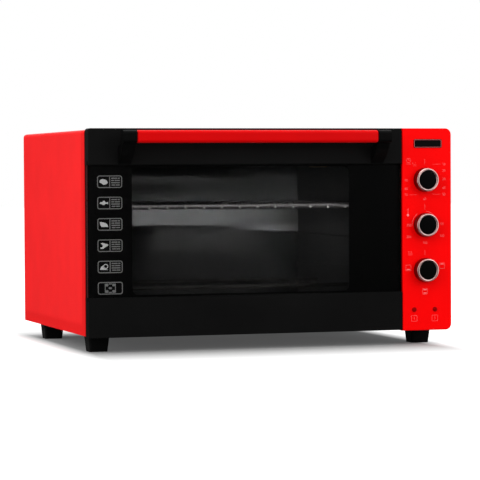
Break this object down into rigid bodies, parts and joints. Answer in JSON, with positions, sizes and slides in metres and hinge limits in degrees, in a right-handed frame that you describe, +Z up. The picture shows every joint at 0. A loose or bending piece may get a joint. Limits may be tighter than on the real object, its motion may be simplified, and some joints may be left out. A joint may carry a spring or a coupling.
{
  "type": "mini oven",
  "caption": "Bench-top electric oven with a bottom-hinged glass door, a bar handle, knobs in a side control column, a sliding wire rack and square feet.",
  "frame": {"origin": "bottom centre of the bounding box, on the surface that the feet stand on", "axes": "+X to the user's right along the oven's width, +Y from the door to the back, +Z up"},
  "size_m": [0.59, 0.4882, 0.34],
  "materials": {
    "red_steel": "gloss red paint on sheet steel",
    "red_plastic": "gloss red moulding",
    "black_plastic": "satin black moulding",
    "black_steel": "satin black paint on sheet steel",
    "door_glass": "tempered glass with a black printed border",
    "inner_glass": "clear tempered glass",
    "zinc_steel": "zinc-plated sheet steel",
    "enamel": "speckled dark grey enamel",
    "chrome": "bright chrome plate",
    "heater_steel": "annealed heater sheath",
    "seal": "matt heat-proof gasket",
    "lens": "clear dark red lens",
    "ceramic": "unglazed electrical ceramic",
    "brass": "machined brass",
    "wire": "silicone wire sleeve"
  },
  "bodies": {
    "casing": {"outer_casing": "red_steel", "front_frame": "black_steel", "oven_cavity": "enamel", "base_plate": "zinc_steel", "rear_cover": "black_steel", "cable_gland": "black_plastic", "heat_shield": "zinc_steel", "door_seal": "seal", "foot_front_left": "black_plastic", "foot_front_right": "black_plastic", "foot_rear_left": "black_plastic", "foot_rear_right": "black_plastic", "upper_heater": "heater_steel", "lower_heater": "heater_steel", "upper_heater_clip": "zinc_steel", "lower_heater_clip": "zinc_steel", "control_panel": "red_plastic", "power_lamp": "lens", "heat_lamp": "lens", "timer_body": "zinc_steel", "thermostat_body": "ceramic", "thermostat_feeler": "brass", "selector_body": "ceramic", "terminal_block": "ceramic", "wire_supply_thermostat": "wire", "wire_thermostat_selector": "wire", "wire_selector_lower_heater": "wire", "wire_selector_upper_heater": "wire", "wire_return_lower_heater": "wire", "wire_return_upper_heater": "wire", "hinge_bracket_left": "zinc_steel", "hinge_pin_left": "zinc_steel", "hinge_spring_left": "zinc_steel", "hinge_bracket_right": "zinc_steel", "hinge_pin_right": "zinc_steel", "hinge_spring_right": "zinc_steel"},
    "door": {"door_top_trim": "black_plastic", "door_bottom_trim": "black_plastic", "door_glass": "door_glass", "door_inner_frame": "black_steel", "door_inner_glass": "inner_glass", "handle_bar": "red_plastic", "handle_arm_left": "black_plastic", "handle_arm_right": "black_plastic", "hinge_arm_left": "zinc_steel", "hinge_arm_right": "zinc_steel"},
    "timer_control": {"timer_knob": "black_plastic", "timer_knob_ring": "chrome", "timer_shaft": "brass"},
    "thermostat_control": {"thermostat_knob": "black_plastic", "thermostat_knob_ring": "chrome", "thermostat_shaft": "brass"},
    "selector_control": {"selector_knob": "black_plastic", "selector_knob_ring": "chrome", "selector_shaft": "brass"},
    "rack": {"wire_rack": "chrome"}
  },
  "joints": [
    {"name": "door_hinge", "type": "hinge", "parent": "casing", "child": "door", "pos_m": [-0.045, -0.19415, 0.0305], "axis": [1, 0, 0], "range_deg": [0, 85], "stiffness_Nm_per_rad": 1.4, "springref_deg": -28.65, "deforming": ["hinge_spring_left", "hinge_spring_right"]},
    {"name": "timer_turn", "type": "hinge", "parent": "casing", "child": "timer_control", "pos_m": [0.25, -0.22315, 0.259], "axis": [0, 1, 0], "range_deg": [0, 300]},
    {"name": "thermostat_turn", "type": "hinge", "parent": "casing", "child": "thermostat_control", "pos_m": [0.25, -0.22315, 0.188], "axis": [0, 1, 0], "range_deg": [0, 280]},
    {"name": "selector_turn", "type": "hinge", "parent": "casing", "child": "selector_control", "pos_m": [0.25, -0.22315, 0.117], "axis": [0, 1, 0], "range_deg": [0, 270]},
    {"name": "rack_slide", "type": "slide", "parent": "casing", "child": "rack", "axis": [0, -1, 0], "range_m": [0, 0.2]}
  ],
  "couplings": [
    {"joint": "rack_slide", "follows": "door_hinge", "m_per_rad": 0.13}
  ]
}
